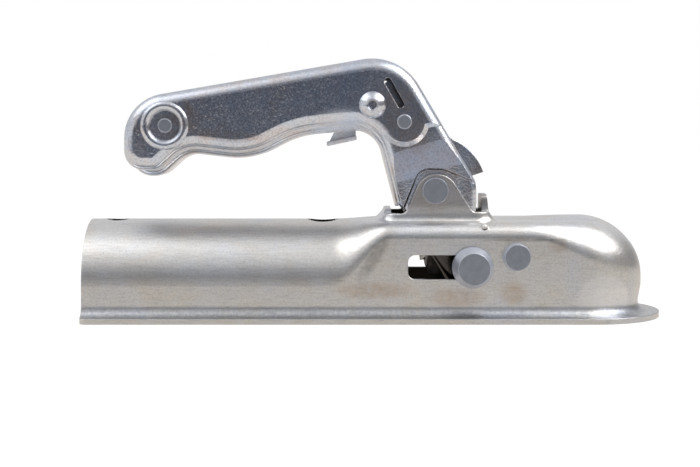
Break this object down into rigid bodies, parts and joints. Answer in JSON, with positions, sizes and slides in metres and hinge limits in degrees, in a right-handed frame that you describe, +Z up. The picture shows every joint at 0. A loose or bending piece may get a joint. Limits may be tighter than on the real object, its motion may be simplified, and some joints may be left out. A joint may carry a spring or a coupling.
{
  "type": "trailer coupling head",
  "caption": "Pressed steel trailer coupling head with a lift handle that has a squeeze catch, a sliding cross pin, a ball jaw and a tunnel seat for a round drawbar.",
  "frame": {"origin": "centre of the towing ball's seat", "axes": "+X forwards from the drawbar to the nose, +Y to the far side of the picture, +Z up"},
  "size_m": [0.2572, 0.0738, 0.1154],
  "materials": {
    "satin_zinc": "satin",
    "bright_zinc": "bright",
    "rivet_steel": "satin",
    "plain_steel": "satin",
    "forged_steel": "matt",
    "spring_steel": "bright"
  },
  "bodies": {
    "housing": {"housing_shell": "satin_zinc", "jaw_rivet": "rivet_steel", "handle_axle": "rivet_steel", "jaw_spacer_near": "plain_steel", "jaw_spacer_far": "plain_steel"},
    "handle": {"handle_shell": "bright_zinc", "handle_liner": "bright_zinc", "end_rivet": "rivet_steel", "stop_rivet": "rivet_steel", "catch_rivet": "bright_zinc", "axle_sleeve": "plain_steel", "closing_spring": "spring_steel", "catch_spring": "spring_steel"},
    "catch": {"catch_lever": "bright_zinc"},
    "slider": {"slot_pin": "rivet_steel", "slot_pin_collar": "rivet_steel", "pin_spacer_near": "plain_steel", "pin_spacer_far": "plain_steel", "pressure_block": "forged_steel"},
    "jaw": {"ball_jaw": "forged_steel"}
  },
  "joints": [
    {"name": "handle_lift", "type": "hinge", "parent": "housing", "child": "handle", "pos_m": [-0.0663, 0, 0.03965], "axis": [0, 1, 0], "range_deg": [0, 37], "stiffness_Nm_per_rad": 2, "springref_deg": -17.19, "deforming": ["closing_spring"]},
    {"name": "pin_slide", "type": "slide", "parent": "housing", "child": "slider", "axis": [-1, 0, 0], "range_m": [0, 0.0227]},
    {"name": "jaw_swing", "type": "hinge", "parent": "housing", "child": "jaw", "pos_m": [-0.03135, 0, 0.0113], "axis": [0, 1, 0], "range_deg": [0, 15]},
    {"name": "catch_squeeze", "type": "hinge", "parent": "handle", "child": "catch", "pos_m": [-0.094, 0, 0.0774], "axis": [0, 1, 0], "range_deg": [0, 9], "stiffness_Nm_per_rad": 0.8, "springref_deg": -17.19, "deforming": ["catch_spring"]}
  ],
  "couplings": [
    {"joint": "pin_slide", "follows": "handle_lift", "m_per_rad": 0.035},
    {"joint": "jaw_swing", "follows": "handle_lift", "ratio": 0.405},
    {"joint": "catch_squeeze", "follows": "handle_lift", "ratio": 0.243}
  ]
}
